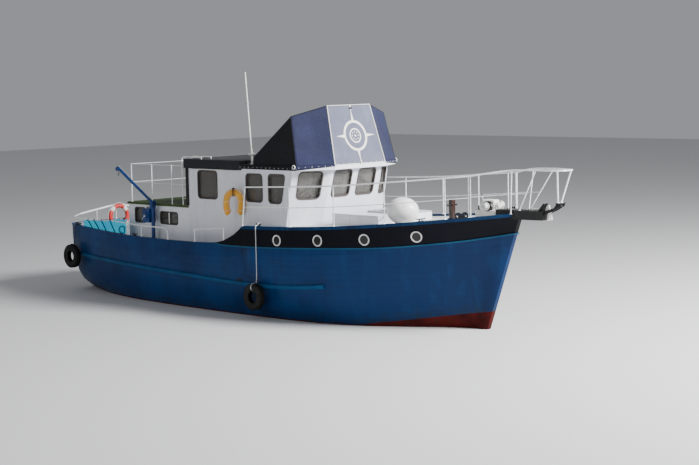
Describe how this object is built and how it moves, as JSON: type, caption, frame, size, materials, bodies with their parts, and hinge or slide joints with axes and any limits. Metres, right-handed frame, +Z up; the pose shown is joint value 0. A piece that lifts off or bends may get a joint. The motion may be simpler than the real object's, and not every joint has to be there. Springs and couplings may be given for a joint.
{
  "type": "fishing trawler",
  "caption": "Blue decked fishing trawler afloat, with a white wheelhouse, a canvas-covered upper steering place, a low after cabin and a small derrick.",
  "frame": {"origin": "amidships on the centreline, at the waterline that the hull floats at", "axes": "+X forward to the bow, +Y to port, +Z up"},
  "size_m": [16.8417, 4.7268, 7.651],
  "materials": {
    "hull_blue": "satin",
    "antifouling": "matte",
    "bronze": "satin",
    "engine_paint": "matte",
    "navy_paint": "satin",
    "capping_blue": "satin",
    "deck_grey": "matte",
    "deck_green": "matte",
    "white_paint": "satin",
    "glass": "gloss",
    "varnished_wood": "satin",
    "canvas": "woven",
    "rail_steel": "satin",
    "black_paint": "satin",
    "cyan_cloth": "woven",
    "derrick_blue": "satin",
    "yellow_foam": "coated",
    "orange_plastic": "satin",
    "white_vinyl": "satin",
    "black_rubber": "worn"
  },
  "bodies": {
    "vessel": {"hull": "hull_blue", "aft_bulwark": "hull_blue", "bulwark_capping": "hull_blue", "keel": "antifouling", "engine": "engine_paint", "raised_topside": "navy_paint", "house_roof": "navy_paint", "foredeck_capping": "capping_blue", "band_moulding": "capping_blue", "strake_starboard": "capping_blue", "strake_port": "capping_blue", "aft_deck": "deck_grey", "foredeck": "deck_grey", "deck_steps_starboard": "deck_grey", "deck_steps_port": "deck_grey", "poop_deck": "deck_green", "aft_cabin": "white_paint", "house_walls": "white_paint", "wheelhouse_walls": "white_paint", "wheelhouse_roof": "white_paint", "coachroof": "white_paint", "windlass": "white_paint", "roof_ladder": "white_paint", "whip_aerial": "white_paint", "aft_cabin_glass": "glass", "house_glass_starboard": "glass", "house_glass_port": "glass", "wheelhouse_glass": "glass", "helm_console": "varnished_wood", "samson_post": "varnished_wood", "flybridge_cover": "canvas", "guard_rail_starboard": "rail_steel", "guard_rail_port": "rail_steel", "pulpit": "rail_steel", "stern_rail": "rail_steel", "gate_rail_starboard": "rail_steel", "gate_rail_port": "rail_steel", "poop_rail": "rail_steel", "anchor": "rail_steel", "bow_platform": "black_paint", "weather_cloth_starboard": "cyan_cloth", "weather_cloth_port": "cyan_cloth", "derrick_socket": "derrick_blue", "horseshoe_buoy": "yellow_foam", "ring_buoy": "orange_plastic", "ball_fender": "white_vinyl", "tyre_fender_quarter": "black_rubber", "tyre_fender_side": "black_rubber"},
    "propeller": {"propeller": "bronze"},
    "rudder": {"rudder": "antifouling"},
    "companion_door": {"companion_door": "varnished_wood"},
    "hatch_lid": {"hatch_lid": "deck_grey"},
    "derrick_post": {"derrick_post": "derrick_blue"},
    "derrick_boom": {"derrick_boom": "derrick_blue"}
  },
  "joints": [
    {"name": "propeller_spin", "type": "hinge", "parent": "vessel", "child": "propeller", "pos_m": [-6.01, 0, -0.95], "axis": [1, 0, 0], "continuous": true},
    {"name": "rudder_turn", "type": "hinge", "parent": "vessel", "child": "rudder", "pos_m": [-6.56, 0, -0.9], "axis": [0, 0, 1], "range_deg": [-35, 35]},
    {"name": "door_swing", "type": "hinge", "parent": "vessel", "child": "companion_door", "pos_m": [-2.1895, 0.322, 3.1], "axis": [0, 0, -1], "range_deg": [0, 105]},
    {"name": "hatch_lift", "type": "hinge", "parent": "vessel", "child": "hatch_lid", "pos_m": [3.82, 0, 2.644], "axis": [0, 1, 0], "range_deg": [0, 100]},
    {"name": "derrick_slew", "type": "hinge", "parent": "vessel", "child": "derrick_post", "pos_m": [-3.45, -1.935, 1.5], "axis": [0, 0, 1], "range_deg": [0, 170]},
    {"name": "boom_luff", "type": "hinge", "parent": "derrick_post", "child": "derrick_boom", "pos_m": [-3.45, -1.935, 2.69], "axis": [0, 1, 0], "range_deg": [-22, 35]}
  ]
}
